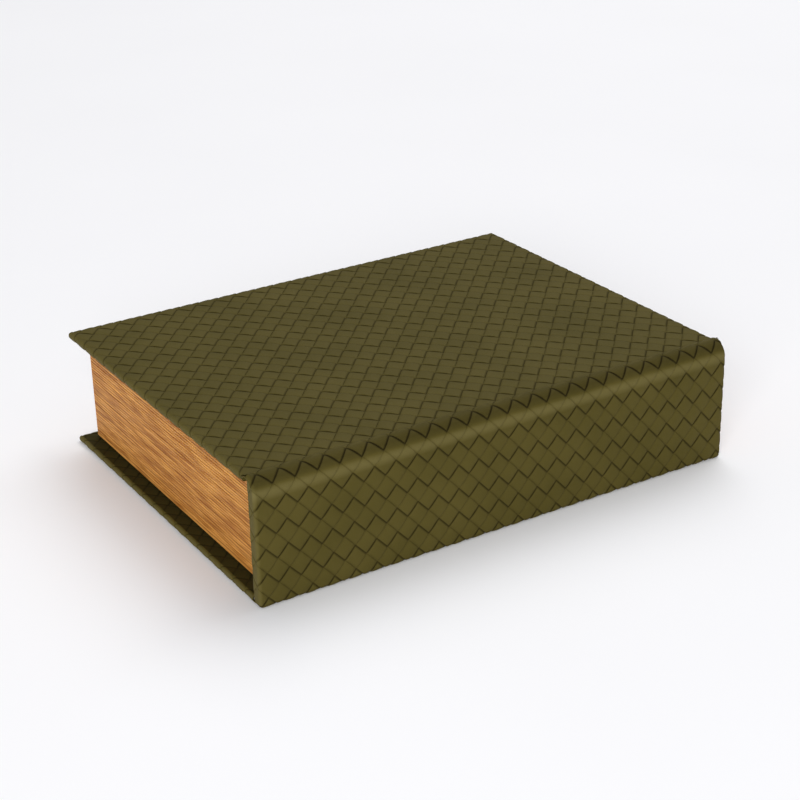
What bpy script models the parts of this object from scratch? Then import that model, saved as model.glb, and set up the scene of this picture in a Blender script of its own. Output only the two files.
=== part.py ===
"""Book-shaped box for two decks of playing cards.

A case of boards wrapped in leather (lid, spine and base) holds a wooden tray made to look
like a block of pages. The lid hinges on the leather along the spine's top edge. Inside, a
divider splits the tray into two lined wells, and hidden magnets hold the lid shut.

Frame: X runs along the spine, -Y is the spine's outer face, +Y is the fore-edge, +Z is up,
and the origin is on the table under the middle of the box. Lengths are in metres.
"""
import math

import bmesh
import bpy

# The case
BOX_LENGTH = 0.165          # along the spine
BOX_DEPTH = 0.127           # spine face to fore-edge
LID_TOP_Z = 0.0388          # table to the lid's upper face
CORNER_RADIUS = 0.0012      # vertical corners of the lid and the base
LEATHER = 0.0004            # skived cover leather
GAP = 0.00025               # glue line between two pieces that touch
LID_BOARD = 0.0012          # greyboard inside the lid
BASE_BOARD = 0.0010         # greyboard inside the base
SPINE_BOARD = 0.0033        # greyboard inside the spine
TURN_IN = 0.015             # how far the leather folds over onto the boards' inner faces

# The shoulder and the joint, where the leather crosses from the spine to the lid
HINGE_RISE = 0.0008         # leather over the spine stands this much above the lid
SHOULDER_WIDTH = 0.0038     # of the rounded upper edge of the spine, along Y
SHOULDER_HEIGHT = 0.0054    # of the same edge, along Z
SHOULDER_POWER = 1.7        # 2 is an ellipse, less is nearer to a chamfer
SHOULDER_STEPS = 10
JOINT_WIDTH = 0.0022        # free leather between the spine and the lid
JOINT_STEPS = 8
HINGE_ABOVE_LID = 0.0009    # the leather bends about a line just above the lid's face
HINGE_FROM_SPINE = 0.0010   # and this far in from the spine's inner face
JOINT_CLOTH = 0.0003        # lining of the joint, seen when the lid is open

# The wooden tray, or page block
HEAD_OVERHANG = 0.0053      # covers stand this far past the tray at both ends
FORE_OVERHANG = 0.0043      # and this far at the fore-edge
END_WALL = 0.007            # wall thickness at the two ends
LONG_WALL = 0.010           # wall thickness at the spine and the fore-edge
WOOD_EASE = 0.0004          # broken edges of the walls
TRAY_FLOOR = 0.002          # plywood floor between the walls

# The lining
LINING = 0.0008             # suede on card, inside the lid and on the well walls
LINING_INSET = 0.0065       # lid lining stops this far inside the lid's edges
LINER_BELOW_RIM = 0.001     # well liners stop this far under the walls' top
FLOOR_PAD = 0.0015          # suede over thin foam at the bottom of each well
DIVIDER = 0.005             # suede-covered board between the wells
NOTCH_RADIUS = 0.012        # half-round finger notch in the divider's top edge
NOTCH_STEPS = 16

# The magnets
LID_MAGNET_RADIUS = 0.004
LID_MAGNET_HEIGHT = 0.0009
TRAY_MAGNET_RADIUS = 0.003
TRAY_MAGNET_HEIGHT = 0.003
MAGNET_FROM_MIDDLE = 0.050  # along the fore-edge, each way
MAGNET_STEPS = 32

# Modelling allowances
FAR = 0.01                  # how far a cutter runs past what it cuts
LIP = 0.0001                # keeps two cutters' faces from coinciding

# Places that follow from the sizes above
SIDE_X = BOX_LENGTH / 2
SPINE_Y = -BOX_DEPTH / 2
FORE_Y = BOX_DEPTH / 2
SKIN = LEATHER + GAP                                # cover leather and the glue under it
CAVITY_RADIUS = max(CORNER_RADIUS - LEATHER, LIP)
BOARD_RADIUS = max(CORNER_RADIUS - SKIN, LIP)

BASE_BOARD_TOP_Z = SKIN + BASE_BOARD
BASE_TOP_Z = BASE_BOARD_TOP_Z + SKIN
LID_BOARD_TOP_Z = LID_TOP_Z - SKIN
LID_BOARD_Z = LID_BOARD_TOP_Z - LID_BOARD
LID_Z = LID_BOARD_Z - SKIN
HINGE_TOP_Z = LID_TOP_Z + HINGE_RISE

SPINE_INNER_Y = SPINE_Y + SPINE_BOARD + 2 * SKIN
SPINE_FOOT_Z = BASE_BOARD_TOP_Z + GAP               # the spine board stands on the base board
SHOULDER = min(SHOULDER_WIDTH, SPINE_BOARD + SKIN - LIP)    # limited by the board's thickness
LID_EDGE_Y = SPINE_INNER_Y + JOINT_WIDTH            # the lid's edge beside the joint
HINGE_Y = SPINE_INNER_Y + HINGE_FROM_SPINE
HINGE_Z = LID_TOP_Z + HINGE_ABOVE_LID

LINING_TOP_Z = LID_Z - GAP
WALL_TOP_Z = LINING_TOP_Z - LINING - GAP
WALL_Z = BASE_TOP_Z + GAP
TRAY_X = SIDE_X - HEAD_OVERHANG
TRAY_SPINE_Y = SPINE_INNER_Y + GAP
TRAY_FORE_Y = FORE_Y - FORE_OVERHANG
WELL_X = TRAY_X - END_WALL                          # inner faces of the wooden walls
WELL_SPINE_Y = TRAY_SPINE_Y + LONG_WALL
WELL_FORE_Y = TRAY_FORE_Y - LONG_WALL
FLOOR_TOP_Z = WALL_Z + TRAY_FLOOR
LINER_Z = FLOOR_TOP_Z + GAP
LINER_X = WELL_X - GAP - LINING                     # inner face of an end liner
MAGNET_Y = TRAY_FORE_Y - LONG_WALL / 2



def linear(hex_colour):
    """The linear colour of an sRGB hex code, with alpha."""
    channels = [int(hex_colour[i:i + 2], 16) / 255 for i in (0, 2, 4)]
    return [c / 12.92 if c <= 0.04045 else ((c + 0.055) / 1.055) ** 2.4 for c in channels] + [1.0]


def material(name, hex_colour, roughness, metallic=0.0):
    """A plain surface with one colour, roughness and metallic value."""
    made = bpy.data.materials.new(name)
    made.use_nodes = True
    shader = made.node_tree.nodes["Principled BSDF"]
    shader.inputs["Base Color"].default_value = linear(hex_colour)
    shader.inputs["Roughness"].default_value = roughness
    shader.inputs["Metallic"].default_value = metallic
    made.diffuse_color = linear(hex_colour)
    return made


def prism(name, outline, axis, low, high, surface=None, parent=None):
    """A solid with this outline, run from low to high along axis.

    The outline is a list of (X, Y) points for an axis of "Z", and of (Y, Z) for "X".
    The object's origin is at the middle of its box, or on its parent's if it has one.
    """
    def point(a, b, along):
        return (a, b, along) if axis == "Z" else (along, a, b)

    shape = bmesh.new()
    ring = [shape.verts.new(point(a, b, low)) for a, b in outline]
    side = shape.faces.new(ring)
    grown = bmesh.ops.extrude_face_region(shape, geom=[side])["geom"]
    far_side = [v for v in grown if isinstance(v, bmesh.types.BMVert)]
    bmesh.ops.translate(shape, vec=point(0, 0, high - low), verts=far_side)
    bmesh.ops.recalc_face_normals(shape, faces=shape.faces)

    corners = [v.co for v in shape.verts]
    middle = [(min(c[i] for c in corners) + max(c[i] for c in corners)) / 2 for i in range(3)]
    origin = parent.location if parent else middle
    bmesh.ops.translate(shape, vec=[-c for c in origin], verts=shape.verts)

    mesh = bpy.data.meshes.new(name)
    shape.to_mesh(mesh)
    shape.free()
    made = bpy.data.objects.new(name, mesh)
    bpy.context.scene.collection.objects.link(made)
    if parent:
        made.parent = parent
    else:
        made.location = middle
    if surface:
        mesh.materials.append(surface)
    return made


def block(name, x, y, z, surface=None, parent=None):
    """A box between two values on each axis."""
    outline = [(x[0], y[0]), (x[1], y[0]), (x[1], y[1]), (x[0], y[1])]
    return prism(name, outline, "Z", *z, surface, parent)


def cover_outline(half_length, back_y, front_y, radius, steps=6):
    """Outline of a cover seen from above: square at the back, rounded at the front corners."""
    points = [(-half_length, back_y), (half_length, back_y)]
    for side, start in ((1, 0.0), (-1, math.pi / 2)):
        for step in range(steps + 1):
            angle = start + step / steps * math.pi / 2
            points.append((
                side * (half_length - radius) + radius * math.cos(angle),
                front_y - radius + radius * math.sin(angle),
            ))
    return points


def disc_outline(x, y, radius, steps):
    """A circle about (x, y)."""
    turns = [2 * math.pi * step / steps for step in range(steps)]
    return [(x + radius * math.cos(turn), y + radius * math.sin(turn)) for turn in turns]


def spine_outline(inset, foot_z):
    """Section of the spine, in Y and Z, moved in by inset from its outer faces."""
    width = SHOULDER - inset
    height = SHOULDER_HEIGHT - inset
    middle_y = SPINE_Y + SHOULDER
    middle_z = HINGE_TOP_Z - SHOULDER_HEIGHT
    inner_y = SPINE_INNER_Y - inset
    points = [(SPINE_Y + inset, foot_z)]
    for step in range(SHOULDER_STEPS + 1):
        angle = step / SHOULDER_STEPS * math.pi / 2
        points.append((
            middle_y - width * math.cos(angle) ** (2 / SHOULDER_POWER),
            middle_z + height * math.sin(angle) ** (2 / SHOULDER_POWER),
        ))
    return [*points, (inner_y, HINGE_TOP_Z - inset), (inner_y, foot_z)]


def cut(target, cutter, way="DIFFERENCE"):
    """Cut one object with another, or join it on, and keep the tool as a hidden guide."""
    cutter.hide_render = True
    cutter.display_type = "WIRE"
    tool = target.modifiers.new(cutter.name, "BOOLEAN")
    tool.operation = way
    tool.solver = "EXACT"
    tool.object = cutter


def soften(target, width):
    """Break a block's edges."""
    bevel = target.modifiers.new("eased edges", "BEVEL")
    bevel.width = width
    bevel.segments = 2
    bevel.limit_method = "ANGLE"


def shade_round(target, angle):
    """Shade a round piece smooth, and leave its rims sharp."""
    target.data.shade_smooth()
    target.data.set_sharp_from_angle(angle=math.radians(angle))


def wrapped_cover(name, back_y, z, cavity_z, open_z, surface, parent=None):
    """Leather round a board: one full face, three edges, and the turn-ins on the other face."""
    leather = prism(name, cover_outline(SIDE_X, back_y, FORE_Y, CORNER_RADIUS), "Z", *z, surface, parent)
    inside = cover_outline(SIDE_X - LEATHER, back_y - FAR, FORE_Y - LEATHER, CAVITY_RADIUS)
    cut(leather, prism(name + " board space", inside, "Z", *cavity_z, None, parent))
    window_x = SIDE_X - TURN_IN
    window_y = (back_y - FAR, FORE_Y - TURN_IN)
    cut(leather, block(name + " window", (-window_x, window_x), window_y, open_z, None, parent))
    return leather


def make_base(leather, greyboard):
    """The back cover: a board in leather, which also carries the spine."""
    skin = wrapped_cover(
        "base_leather", SPINE_Y, (0.0, BASE_TOP_Z), (LEATHER, BASE_TOP_Z - LEATHER),
        (BASE_BOARD_TOP_Z, BASE_TOP_Z + FAR), leather,
    )
    wide = (-SIDE_X - FAR, SIDE_X + FAR)
    beside_spine = (SPINE_Y - FAR, SPINE_INNER_Y + GAP)
    cut(skin, block("base_leather spine foot", wide, beside_spine, (BASE_BOARD_TOP_Z, BASE_TOP_Z + FAR)))
    outside = (SPINE_Y - FAR, SPINE_Y + SKIN)
    cut(skin, block("base_leather spine face", wide, outside, (LEATHER + LIP, BASE_TOP_Z + FAR)))
    outline = cover_outline(SIDE_X - SKIN, SPINE_Y + SKIN, FORE_Y - SKIN, BOARD_RADIUS)
    prism("base_board", outline, "Z", SKIN, BASE_BOARD_TOP_Z, greyboard)


def make_spine(leather, greyboard):
    """The spine: a thick board with a rounded upper edge, standing on the base board."""
    skin = prism("spine_leather", spine_outline(0.0, SKIN), "X", -SIDE_X, SIDE_X, leather)
    ends = SIDE_X - LEATHER
    cut(skin, prism("spine_leather board space", spine_outline(LEATHER, -FAR), "X", -ends, ends))
    window_x = SIDE_X - TURN_IN
    window_y = (SPINE_INNER_Y - LEATHER - LIP, SPINE_INNER_Y + FAR)
    window_z = (-FAR, HINGE_TOP_Z - LEATHER - LIP)
    cut(skin, block("spine_leather window", (-window_x, window_x), window_y, window_z))
    wide = (-SIDE_X - FAR, SIDE_X + FAR)
    foot_y = (SPINE_Y + LEATHER + LIP, SPINE_INNER_Y + FAR)
    cut(skin, block("spine_leather foot", wide, foot_y, (-FAR, SPINE_FOOT_Z)))
    shade_round(skin, 30)
    ends = SIDE_X - SKIN
    board = prism("spine_board", spine_outline(SKIN, SPINE_FOOT_Z), "X", -ends, ends, greyboard)
    shade_round(board, 30)


def make_joint(leather, cloth):
    """The free strip of leather that the lid hinges on, easing down from spine to lid.

    Under it a cloth lining comes up the spine's inner face, crosses the joint, and goes down
    the lid's edge and a little way under the lid.
    """
    start_y = SPINE_INNER_Y + GAP
    span = LID_EDGE_Y - GAP - start_y
    upper = []
    for step in range(JOINT_STEPS + 1):
        share = step / JOINT_STEPS
        fall = HINGE_RISE * (0.5 - 0.5 * math.cos(share * math.pi))
        upper.append((start_y + share * span, HINGE_TOP_Z - fall))
    under = [(y, z - LEATHER) for y, z in reversed(upper)]
    strip = prism("hinge_leather", upper + under, "X", -SIDE_X, SIDE_X, leather)
    shade_round(strip, 30)

    spine_y = SPINE_INNER_Y + GAP
    lid_y = LID_EDGE_Y - GAP
    end_y = LID_EDGE_Y + LINING_INSET / 2 - GAP
    spine_z = HINGE_TOP_Z - LEATHER - GAP
    lid_z = LID_TOP_Z - LEATHER - GAP
    outer = [
        (spine_y, WALL_TOP_Z + GAP), (spine_y, spine_z), (lid_y, lid_z),
        (lid_y, LINING_TOP_Z), (end_y, LINING_TOP_Z),
    ]
    inner = [
        (end_y, LINING_TOP_Z - JOINT_CLOTH), (lid_y - JOINT_CLOTH, LINING_TOP_Z - JOINT_CLOTH),
        (lid_y - JOINT_CLOTH, lid_z - JOINT_CLOTH), (spine_y + JOINT_CLOTH, spine_z - JOINT_CLOTH),
        (spine_y + JOINT_CLOTH, WALL_TOP_Z + GAP),
    ]
    prism("hinge_lining", outer + inner, "X", -TRAY_X, TRAY_X, cloth)


def make_lid(axis, leather, greyboard, suede, nickel):
    """The front cover, which turns about the joint, with its lining and magnets."""
    wrapped_cover(
        "lid_leather", LID_EDGE_Y, (LID_Z, LID_TOP_Z), (LID_Z + LEATHER, LID_TOP_Z - LEATHER),
        (LID_Z - FAR, LID_BOARD_Z), leather, axis,
    )
    outline = cover_outline(SIDE_X - SKIN, LID_EDGE_Y, FORE_Y - SKIN, BOARD_RADIUS)
    board = prism("lid_board", outline, "Z", LID_BOARD_Z, LID_BOARD_TOP_Z, greyboard, axis)
    for side, x in (("left", -MAGNET_FROM_MIDDLE), ("right", MAGNET_FROM_MIDDLE)):
        hole = disc_outline(x, MAGNET_Y, LID_MAGNET_RADIUS + GAP, MAGNET_STEPS)
        deep = (LID_BOARD_Z - FAR, LID_BOARD_TOP_Z + FAR)
        cut(board, prism("lid_board hole " + side, hole, "Z", *deep, None, axis))
        rim = disc_outline(x, MAGNET_Y, LID_MAGNET_RADIUS, MAGNET_STEPS)
        top_z = LID_BOARD_Z + LID_MAGNET_HEIGHT
        magnet = prism("lid_magnet_" + side, rim, "Z", LID_BOARD_Z, top_z, nickel, axis)
        shade_round(magnet, 40)

    x = SIDE_X - LINING_INSET
    y = (LID_EDGE_Y + LINING_INSET / 2, FORE_Y - LINING_INSET)
    lining = block("lid_lining", (-x, x), y, (LINING_TOP_Z - LINING, LINING_TOP_Z), suede, axis)
    x = SIDE_X - TURN_IN - GAP
    y = (y[0] + LIP, FORE_Y - TURN_IN - GAP)
    filler = block("lid_lining filler", (-x, x), y, (LINING_TOP_Z - LINING / 2, LID_BOARD_Z - GAP), None, axis)
    cut(lining, filler, "UNION")


def make_walls(wood, nickel):
    """Four wooden walls with mitred corners. The fore-edge wall holds two magnets."""
    for name, side in (("wall_head", -1), ("wall_tail", 1)):
        outline = [
            (side * TRAY_X, TRAY_SPINE_Y),
            (side * TRAY_X, TRAY_FORE_Y),
            (side * WELL_X, WELL_FORE_Y),
            (side * WELL_X, WELL_SPINE_Y),
        ]
        soften(prism(name, outline, "Z", WALL_Z, WALL_TOP_Z, wood), WOOD_EASE)

    walls = {}
    for name, outer_y, inner_y in (
        ("wall_spine", TRAY_SPINE_Y, WELL_SPINE_Y),
        ("wall_fore_edge", TRAY_FORE_Y, WELL_FORE_Y),
    ):
        outline = [
            (-TRAY_X + GAP, outer_y),
            (TRAY_X - GAP, outer_y),
            (WELL_X - GAP, inner_y),
            (-WELL_X + GAP, inner_y),
        ]
        walls[name] = prism(name, outline, "Z", WALL_Z, WALL_TOP_Z, wood)
        soften(walls[name], WOOD_EASE)

    for side, x in (("left", -MAGNET_FROM_MIDDLE), ("right", MAGNET_FROM_MIDDLE)):
        foot_z = WALL_TOP_Z - TRAY_MAGNET_HEIGHT
        hole = disc_outline(x, MAGNET_Y, TRAY_MAGNET_RADIUS + GAP, MAGNET_STEPS)
        deep = (foot_z - GAP, WALL_TOP_Z + FAR)
        cut(walls["wall_fore_edge"], prism("wall_fore_edge hole " + side, hole, "Z", *deep))
        rim = disc_outline(x, MAGNET_Y, TRAY_MAGNET_RADIUS, MAGNET_STEPS)
        magnet = prism("tray_magnet_" + side, rim, "Z", foot_z, WALL_TOP_Z, nickel)
        shade_round(magnet, 40)


def make_wells(wood, suede):
    """The plywood floor, the notched divider, and the lining of the two wells."""
    x = WELL_X - GAP
    y = (WELL_SPINE_Y + GAP, WELL_FORE_Y - GAP)
    block("tray_floor", (-x, x), y, (WALL_Z, FLOOR_TOP_Z), wood)

    middle_y = (y[0] + y[1]) / 2
    outline = [(y[0], LINER_Z), (y[1], LINER_Z), (y[1], WALL_TOP_Z)]
    for step in range(NOTCH_STEPS + 1):
        angle = step / NOTCH_STEPS * math.pi
        outline.append((
            middle_y + NOTCH_RADIUS * math.cos(angle),
            WALL_TOP_Z - NOTCH_RADIUS * math.sin(angle),
        ))
    outline.append((y[0], WALL_TOP_Z))
    shade_round(prism("divider", outline, "X", -DIVIDER / 2, DIVIDER / 2, suede), 30)

    liner_z = (LINER_Z, WALL_TOP_Z - LINER_BELOW_RIM)
    for name, side in (("left", -1), ("right", 1)):
        outer_x = sorted((side * LINER_X, side * (LINER_X + LINING)))
        block("liner_end_" + name, outer_x, y, liner_z, suede)
        well_x = sorted((side * (DIVIDER / 2 + GAP), side * (LINER_X - GAP)))
        block("liner_spine_" + name, well_x, (y[0], y[0] + LINING), liner_z, suede)
        block("liner_fore_" + name, well_x, (y[1] - LINING, y[1]), liner_z, suede)
        pad_y = (y[0] + LINING + GAP, y[1] - LINING - GAP)
        block("floor_pad_" + name, well_x, pad_y, (LINER_Z, LINER_Z + FLOOR_PAD), suede)


for old in list(bpy.data.objects):
    bpy.data.objects.remove(old, do_unlink=True)

cover_leather = material("olive leather", "524B28", 0.5)
grey_board = material("greyboard", "8A857C", 0.9)
golden_wood = material("golden wood", "B8804B", 0.55)
soft_suede = material("black suede", "24221F", 0.95)
bright_nickel = material("nickel plate", "B9B8B2", 0.25, 1.0)

hinge_axis = bpy.data.objects.new("hinge axis", None)
hinge_axis.location = (0.0, HINGE_Y, HINGE_Z)
bpy.context.scene.collection.objects.link(hinge_axis)

make_base(cover_leather, grey_board)
make_spine(cover_leather, grey_board)
make_joint(cover_leather, soft_suede)
make_lid(hinge_axis, cover_leather, grey_board, soft_suede, bright_nickel)
make_walls(golden_wood, bright_nickel)
make_wells(golden_wood, soft_suede)
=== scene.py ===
# A book-shaped box for two decks of playing cards: boards in woven-look leather round a block
# of wood that is cut to look like pages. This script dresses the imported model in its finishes.
import math

import bmesh
import bpy
import numpy as np
from mathutils import Matrix, Vector


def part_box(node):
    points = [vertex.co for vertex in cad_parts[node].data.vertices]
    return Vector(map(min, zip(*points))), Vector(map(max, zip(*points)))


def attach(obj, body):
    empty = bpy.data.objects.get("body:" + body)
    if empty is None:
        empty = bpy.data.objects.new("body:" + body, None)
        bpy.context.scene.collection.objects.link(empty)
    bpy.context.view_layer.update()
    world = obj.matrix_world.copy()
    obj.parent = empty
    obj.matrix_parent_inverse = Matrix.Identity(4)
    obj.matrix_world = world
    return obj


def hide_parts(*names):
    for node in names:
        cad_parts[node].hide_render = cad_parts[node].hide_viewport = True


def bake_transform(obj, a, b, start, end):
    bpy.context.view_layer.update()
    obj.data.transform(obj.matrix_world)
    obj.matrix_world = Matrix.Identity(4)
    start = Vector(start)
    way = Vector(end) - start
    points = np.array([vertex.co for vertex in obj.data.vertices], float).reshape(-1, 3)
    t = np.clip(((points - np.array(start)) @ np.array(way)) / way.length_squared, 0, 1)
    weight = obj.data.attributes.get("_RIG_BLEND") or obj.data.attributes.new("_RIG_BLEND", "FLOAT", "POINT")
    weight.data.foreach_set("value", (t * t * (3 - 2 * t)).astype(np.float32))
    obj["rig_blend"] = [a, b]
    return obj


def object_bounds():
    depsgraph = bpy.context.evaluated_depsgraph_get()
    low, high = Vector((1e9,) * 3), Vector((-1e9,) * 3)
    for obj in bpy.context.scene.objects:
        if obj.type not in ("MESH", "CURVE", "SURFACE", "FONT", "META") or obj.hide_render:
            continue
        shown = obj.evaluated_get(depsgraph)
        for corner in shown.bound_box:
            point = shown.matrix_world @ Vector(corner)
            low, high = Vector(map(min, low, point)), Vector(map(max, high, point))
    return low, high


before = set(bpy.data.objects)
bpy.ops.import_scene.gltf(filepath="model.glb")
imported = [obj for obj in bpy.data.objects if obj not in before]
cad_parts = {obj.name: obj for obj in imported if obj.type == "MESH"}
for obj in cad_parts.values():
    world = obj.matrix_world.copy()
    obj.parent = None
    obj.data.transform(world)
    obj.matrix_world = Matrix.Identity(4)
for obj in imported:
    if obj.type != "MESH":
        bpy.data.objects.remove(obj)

cad_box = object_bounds()
MM = 0.001
scene = bpy.context.scene

# The table and the room. A seamless white sheet under the box, soft white light from all
# round, and a camera above the corner where the spine meets the near end.
scene.view_settings.view_transform = "Standard"


def linear(code):
    """The linear colour of an sRGB hex code, with alpha."""
    channels = [int(code[i:i + 2], 16) / 255 for i in (0, 2, 4)]
    return [c / 12.92 if c <= 0.04045 else ((c + 0.055) / 1.055) ** 2.4 for c in channels] + [1.0]


def add(tree, kind, inputs=(), **settings):
    """A node, with its settings, and with a value or another node's output on its sockets."""
    made = tree.nodes.new(kind)
    for name, value in settings.items():
        setattr(made, name, value)
    for socket, value in dict(inputs).items():
        if isinstance(value, bpy.types.NodeSocket):
            tree.links.new(value, made.inputs[socket])
        else:
            made.inputs[socket].default_value = value
    return made


def finish_of(name, **values):
    """A new material, its node tree and its shader, with these values on the shader."""
    made = bpy.data.materials.new(name)
    made.use_nodes = True
    shader = made.node_tree.nodes["Principled BSDF"]
    for socket, value in values.items():
        shader.inputs[socket.replace("_", " ")].default_value = value
    return made, made.node_tree, shader


def show(name, mesh, surface):
    """An object at the origin with this mesh and this material."""
    made = bpy.data.objects.new(name, mesh)
    scene.collection.objects.link(made)
    mesh.materials.clear()
    mesh.materials.append(surface)
    return made


def mesh_from(shape, name):
    """The mesh of a bmesh, which is freed."""
    mesh = bpy.data.meshes.new(name)
    shape.to_mesh(mesh)
    shape.free()
    return mesh


# Matt white paper: no gloss, and a faint mottle about 110 mm across.
paper, tree, shader = finish_of("seamless paper", Roughness=0.9, Specular_IOR_Level=0.1)
place = add(tree, "ShaderNodeTexCoord").outputs["Object"]
mottle = add(tree, "ShaderNodeTexNoise", {
    "Vector": place, "Scale": 1 / (111.1 * MM), "Detail": 2.0,
})
tone = add(tree, "ShaderNodeValToRGB", {"Fac": mottle.outputs["Fac"]})
tone.color_ramp.elements[0].color = linear("F7F7F9")
tone.color_ramp.elements[1].color = linear("FAFAFC")
tree.links.new(tone.outputs["Color"], shader.inputs["Base Color"])

shape = bmesh.new()
bmesh.ops.create_grid(shape, x_segments=8, y_segments=8, size=3.0)
floor = show("floor", mesh_from(shape, "floor"), paper)

world = bpy.data.worlds.new("room")
world.use_nodes = True
scene.world = world
tree = world.node_tree
sky = tree.nodes["Background"]
direction = add(tree, "ShaderNodeTexCoord").outputs["Generated"]
split = add(tree, "ShaderNodeSeparateXYZ", {"Vector": direction})
height = add(tree, "ShaderNodeMapRange", {
    "Value": split.outputs["Z"], "From Min": 0.35, "From Max": 0.8, "To Min": 0.25, "To Max": 0.42,
}, interpolation_type="SMOOTHSTEP")
tree.links.new(height.outputs["Result"], sky.inputs["Strength"])
sky.inputs["Color"].default_value = linear("FDFDFF")


def softbox(name, at, size, power):
    """A white rectangular light that faces the middle of the table."""
    light = bpy.data.lights.new(name, "AREA")
    light.shape = "RECTANGLE"
    light.size, light.size_y = size
    light.energy = power
    made = bpy.data.objects.new(name, light)
    scene.collection.objects.link(made)
    made.location = at
    made.rotation_euler = (-Vector(at)).to_track_quat("-Z", "Y").to_euler()


softbox("high window", (1.1, 0.8, 2.1), (2.4, 2.0), 36)
softbox("front light", (-1.2, -1.5, 0.85), (1.2, 0.8), 30)

# The camera stands off the corner at the spine's near end, and looks down by 25 degrees.
FORWARD = Vector((0.474464, 0.773339, -0.420514))
RIGHT = Vector((0.847250, -0.530808, -0.020225))
STAND = (-0.26624, -0.43831, 0.25498)
camera_data = bpy.data.cameras.new("camera")
camera_data.sensor_width = 36.0
camera_data.lens = 79.92
camera_data.clip_start, camera_data.clip_end = 0.02, 20.0
camera = bpy.data.objects.new("camera", camera_data)
scene.collection.objects.link(camera)
turn = Matrix((RIGHT, RIGHT.cross(FORWARD), -FORWARD)).transposed()
camera.matrix_world = Matrix.Translation(STAND) @ turn.to_4x4()
scene.camera = camera

# The leather's pattern. Calf leather is pressed with a diagonal basket weave: flat strands
# 5 mm wide pass over and under each other, and each shows as a low pillow between dark lines.
PITCH_X = 6.95 * MM             # of the weave's repeat along the spine
PITCH_S = 7.55 * MM             # and up the spine or across a cover
SHIFT_X = 0.59 * MM             # where the repeat starts
SHIFT_S = 1.83 * MM
RISE = 0.30 * MM                # height of a strand's middle above its ends
LIFT = 0.06 * MM                # height of a strand's ends above the sheet's middle level
RELIEF = 0.37 * MM              # from the sheet's middle level up to its highest points
FLOOR = 0.30 * MM               # and down to the bottom of the grooves
FILL = 0.99                     # a strand's width as a share of the space between grooves
# The third values mark the grooves for the material, which paints them darker: partly dye, partly painted
# shade.
ALONG = (                       # along a strand: place, share of the rise, and how deep in a groove
    (-0.58, -0.6, 0.9), (-0.485, 0.15, 0.15), (-0.37, 0.58, 0.0), (-0.13, 0.96, 0.0),
    (0.13, 0.96, 0.0), (0.37, 0.48, 0.0), (0.465, -0.05, 0.7), (0.58, -0.9, 1.0),
)
SECTION = (                     # and across it: place, drop in mm, and how deep in a groove
    (-1.0, None, 1.0), (-1.0, 0.15, 0.5), (-0.93, 0.05, 0.05), (-0.72, 0.0, 0.0),
    (0.72, 0.0, 0.0), (0.93, 0.05, 0.05), (1.0, 0.15, 0.5), (1.0, None, 1.0),
)


def strand(name, along, across):
    """One strand from where it comes up to where it goes under again, lying flat."""
    shape = bmesh.new()
    groove = shape.verts.layers.float.new("groove")
    rows = []
    for u, share, under in ALONG:
        row = []
        for v, drop, deep in SECTION:
            x = u * along[0] + v * FILL / 2 * across[0]
            s = u * along[1] + v * FILL / 2 * across[1]
            z = -FLOOR if drop is None else RISE * share + LIFT - drop * MM
            vertex = shape.verts.new((x, s, max(z, -FLOOR)))
            vertex[groove] = max(deep, under)
            row.append(vertex)
        rows.append(row)
    for low, high in zip(rows, rows[1:]):
        for i in range(len(SECTION) - 1):
            shape.faces.new((low[i], high[i], high[i + 1], low[i + 1]))
    if (high[1].co - low[1].co).cross(high[2].co - high[1].co).z < 0:
        bmesh.ops.reverse_faces(shape, faces=shape.faces)
    return bpy.data.objects.new(name, mesh_from(shape, name))


falling = strand("falling strand", (PITCH_X / 2, -PITCH_S / 2), (PITCH_X / 2, PITCH_S / 2))
rising = strand("rising strand", (PITCH_X / 2, PITCH_S / 2), (PITCH_X / 2, -PITCH_S / 2))

# Pressed calf leather with dye right through: dark olive in soft clouds. In the grooves it is darker and
# duller, partly dye lying thick and partly painted shade. The attribute also carries painted shade on the
# turned-in leather and on the shoulder's slope, and below 0 a paler painted highlight. A fine pebbled grain
# breaks up a low waxed gloss; it is drawn coarser than real calf's 0.2 mm.
leather, tree, shader = finish_of("pressed calf leather", IOR=1.45, Specular_IOR_Level=0.12)
uv = add(tree, "ShaderNodeUVMap", uv_map="sheet").outputs["UV"]
cloudy = add(tree, "ShaderNodeTexNoise", {
    "Vector": uv, "Scale": 1 / (22.2 * MM), "Detail": 3.0,
})
tone = add(tree, "ShaderNodeValToRGB", {"Fac": cloudy.outputs["Fac"]})
tone.color_ramp.elements[0].position = 0.3
tone.color_ramp.elements[0].color = linear("4C441A")
tone.color_ramp.elements[1].position = 0.7
tone.color_ramp.elements[1].color = linear("544B20")
groove = add(tree, "ShaderNodeAttribute", attribute_name="groove").outputs["Fac"]
# Darker where the attribute is above 0: dye in the grooves together with painted shade there, on the
# turned-in leather and on the shoulder's slope.
dye_and_painted_shade = add(tree, "ShaderNodeMix", {
    0: groove, 6: tone.outputs["Color"], 7: linear("262007"),
}, data_type="RGBA")
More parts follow.
